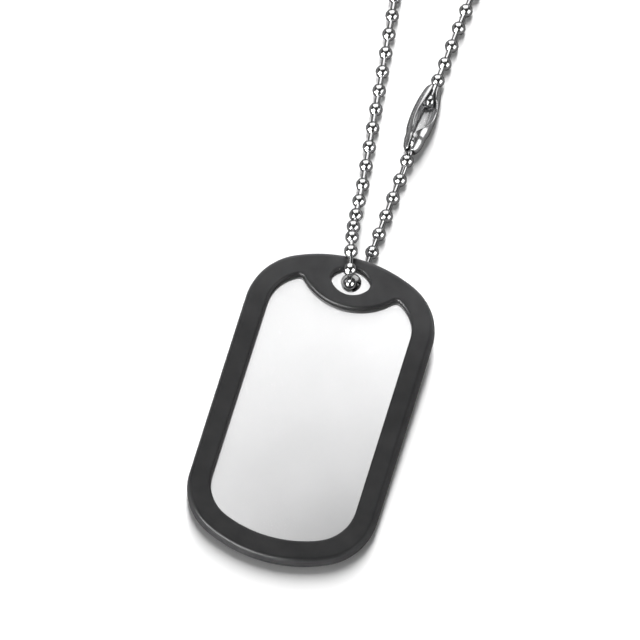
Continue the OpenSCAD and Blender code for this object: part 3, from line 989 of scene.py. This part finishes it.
# Each row: name, direction from the tag, distance and size in metres, radiance
LAMPS = (
    ("key_behind_left", (-0.17, 0.76, 0.58), 5.0, 1.3, 8.0, 22.0),
    ("low_front_fill", (-0.35, -0.92, 0.1), 0.9, 0.9, 0.16, 7.0),
)
MIRRORED = (
    ("spark_behind", (-0.26, 0.72, 0.64), 1.2, 1.5, 1.35, 1.5),
    ("spark_front_left", (-0.45, -0.65, 0.61), 0.9, 0.8, 0.75, 2.5),
    ("spark_right", (0.91, -0.17, 0.38), 0.9, 0.85, 0.8, 1.9),
    ("low_front_strip", (-0.5, -0.85, 0.17), 0.9, 0.9, 0.16, 46.0),
)
for lamp in LAMPS:
    softbox(*lamp, mirrored_too=False)
for lamp in MIRRORED:
    softbox(*lamp, lights_up=False)
print(len(LAMPS), "lamps and", len(MIRRORED), "panels for the metal to mirror")

# %% [markdown]
# The plate is almost a flat mirror, so it shows one small patch of whatever hangs above it. A panel whose
# glow fades towards one corner gives the plate its even change from white at the top to light grey at the
# lower right. Its place follows from the law of reflection: the plate's normal halves the angle between
# the camera and the panel. It reaches farther behind than the plate needs, because the connector's back
# mirrors that part.

# %% The fading panel that the plate mirrors
PANEL_HEIGHT, PANEL_SIZE, PANEL_SHIFT = 0.6, (0.18, 0.34), 0.07
normal = (on_tag(0, 0, 1) - on_tag(0, 0, 0)).normalized()
mirror = 2 * normal.dot(toward) * normal - toward
spot = on_tag(0, 0, PLATE_HIGH) + mirror * (PANEL_HEIGHT / mirror.z)
panel = flat_panel("fading_panel", *PANEL_SIZE)
panel.data.transform(Matrix.Translation(spot + Vector((0, PANEL_SHIFT, 0))))
panel.visible_camera = panel.visible_shadow = panel.visible_diffuse = False
print("the plate's middle mirrors", tuple(round(c, 3) for c in spot))

# %% How the panel's glow fades
# Radiance = BASE + ALONG * y + (ACROSS + TWIST * y) * x, with x and y in mm from the mirrored spot
BASE, ALONG, ACROSS, TWIST = 0.82, 0.0133, -0.0035, 0.0004
DIMMEST, BRIGHTEST = 0.05, 1.2

# A little darker round the place that is mirrored beside the hole
HOLE_ON_PANEL, HOLE_SHADE, HOLE_SHADE_RUN = (0, 30.1, 0), -0.1, (4.5, 6.0)

glow = bpy.data.materials.new("fading_panel")
glow.use_nodes = True
tree = glow.node_tree
tree.nodes.clear()
where = add_node(tree, "ShaderNodeTexCoord")
placed = add_node(tree, "ShaderNodeMapping", {
    "Vector": where.outputs["Object"], "Location": tuple(-spot / MM), "Scale": (1 / MM,) * 3,
})
split = add_node(tree, "ShaderNodeSeparateXYZ", {"Vector": placed.outputs["Vector"]})
x, y = split.outputs["X"], split.outputs["Y"]


def times_plus(a, b, c):
    """The output of a node for a * b + c, where each is a number or another node's output."""
    return add_node(tree, "ShaderNodeMath", {0: a, 1: b, 2: c}, operation="MULTIPLY_ADD").outputs[0]


slope = times_plus(y, TWIST, ACROSS)
level = times_plus(slope, x, times_plus(y, ALONG, BASE))
from_hole = add_node(
    tree, "ShaderNodeVectorMath", {0: placed.outputs["Vector"], 1: HOLE_ON_PANEL}, operation="DISTANCE",
)
shade = remap(tree, from_hole.outputs["Value"], HOLE_SHADE_RUN, (HOLE_SHADE, 0.0))
level = times_plus(1.0, level, shade)
limit = add_node(tree, "ShaderNodeClamp", {"Value": level, "Min": DIMMEST, "Max": BRIGHTEST})
emit = add_node(tree, "ShaderNodeEmission", {"Strength": limit.outputs["Result"]})
add_node(tree, "ShaderNodeOutputMaterial", {"Surface": emit.outputs["Emission"]})
panel.data.materials.append(glow)
panel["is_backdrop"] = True
print("the panel's glow:", len(tree.nodes), "nodes")

# %% [markdown]
# The rest of the studio is an even dim glow. It fills the shadows, but the metal mirrors it as almost
# black overhead and a little lighter near the horizon, as if black cards stood round the table. Only the
# camera sees it as pure white.

# %% Surroundings
FILL = 0.22  # what lights the matt surfaces
OVERHEAD, NEAR_HORIZON = 0.04, 0.16  # what the metal mirrors
HORIZON_BAND = (0.2, 0.45)  # height of the change between them, as a share of straight up
world = bpy.data.worlds.new("studio")
world.use_nodes = True
tree = world.node_tree
ray, where = add_node(tree, "ShaderNodeLightPath"), add_node(tree, "ShaderNodeTexCoord")
split = add_node(tree, "ShaderNodeSeparateXYZ", {"Vector": where.outputs["Generated"]})
in_metal = remap(tree, split.outputs["Z"], HORIZON_BAND, (NEAR_HORIZON, OVERHEAD))
dim = remap(tree, ray.outputs["Is Glossy Ray"], (0, 1), (FILL, in_metal))
bright = add_node(
    tree, "ShaderNodeMath", {0: ray.outputs["Is Camera Ray"], 1: dim}, operation="MAXIMUM",
)
background = tree.nodes["Background"]
background.inputs["Color"].default_value = (1, 1, 1, 1)
tree.links.new(bright.outputs["Value"], background.inputs["Strength"])
scene.world = world
scene.view_settings.view_transform = "Standard"
print("surroundings:", len(tree.nodes), "nodes")

# %% [markdown]
# ## Hand the pieces to the frame
# Each piece rides on the model's one body and stands for the solid that it covers, which is hidden.

# %% Ride on the body and hide the solid
for piece, node_name, slot_name in (
    (plate, "tag_plate", "plate_steel"),
    (rim, "rubber_rim", "rim_rubber"),
    (chain, "ball_chain", "chain_steel"),
    (connector, "chain_connector", "connector_steel"),
):
    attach(piece, "root")
    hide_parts(node_name)

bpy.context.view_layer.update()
for label, box in (("CAD box:", cad_box), ("visual box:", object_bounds())):
    print(label, [tuple(round(v, 4) for v in corner) for corner in box])
